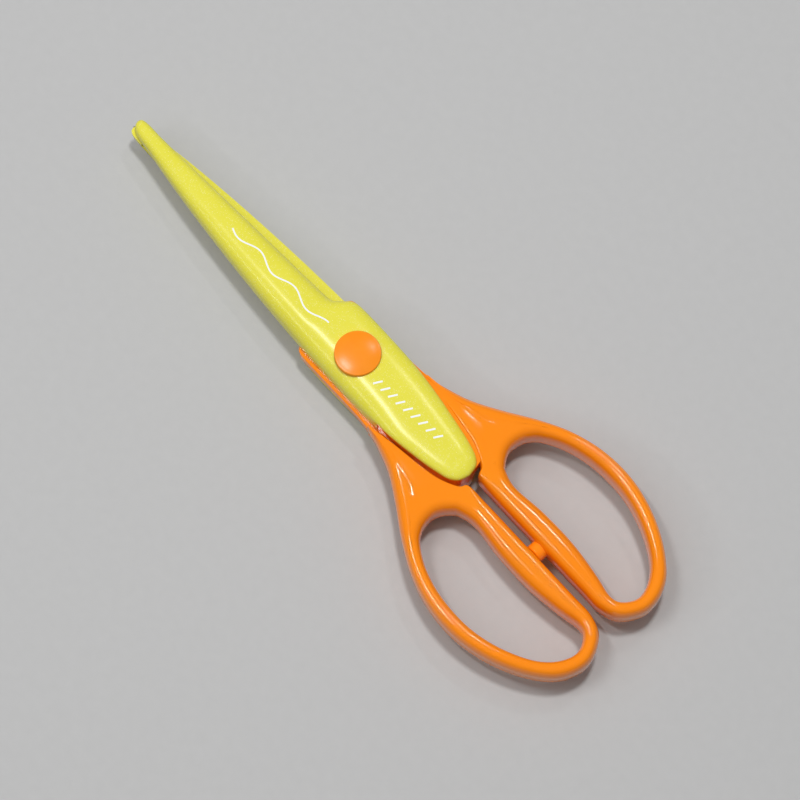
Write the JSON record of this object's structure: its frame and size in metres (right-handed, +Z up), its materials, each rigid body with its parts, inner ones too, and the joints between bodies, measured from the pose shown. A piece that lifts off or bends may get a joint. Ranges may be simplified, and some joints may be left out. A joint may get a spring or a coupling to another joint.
{
  "type": "decorative edge craft scissors",
  "caption": "Hand scissors for wavy paper edges: two covered blades on a capped pivot, with two closed finger loops and a stop peg.",
  "frame": {"origin": "on the pivot axis, at the flat centre of the bottom cap, which the scissors rest on", "axes": "+X from the pivot to the tips, +Y towards the lower half's handle, +Z up along the pivot axis"},
  "size_m": [0.1674, 0.0552, 0.015],
  "materials": {
    "cover": "satin yellow with pale flecks",
    "handle": "high gloss orange",
    "cap": "satin orange",
    "peg": "gloss orange",
    "blade": "ground stainless steel",
    "hardware": "plain steel",
    "cover_pin": "moulded orange"
  },
  "bodies": {
    "lower_half": {"lower_cover": "cover", "lower_handle": "handle", "lower_blade": "blade", "pivot_rivet": "hardware", "spring_washer": "hardware", "rivet_washer": "hardware", "lower_pivot_cap": "cap", "lower_blade_pins": "hardware", "lower_cover_pins": "cover_pin"},
    "upper_half": {"upper_cover": "cover", "upper_handle": "handle", "upper_blade": "blade", "upper_pivot_cap": "cap", "upper_blade_pins": "hardware", "upper_cover_pins": "cover_pin", "stop_peg": "peg"}
  },
  "joints": [
    {"name": "pivot", "type": "hinge", "parent": "lower_half", "child": "upper_half", "pos_m": [0, 0, 0.0075], "axis": [0, 0, 1], "range_deg": [0, 90]}
  ]
}
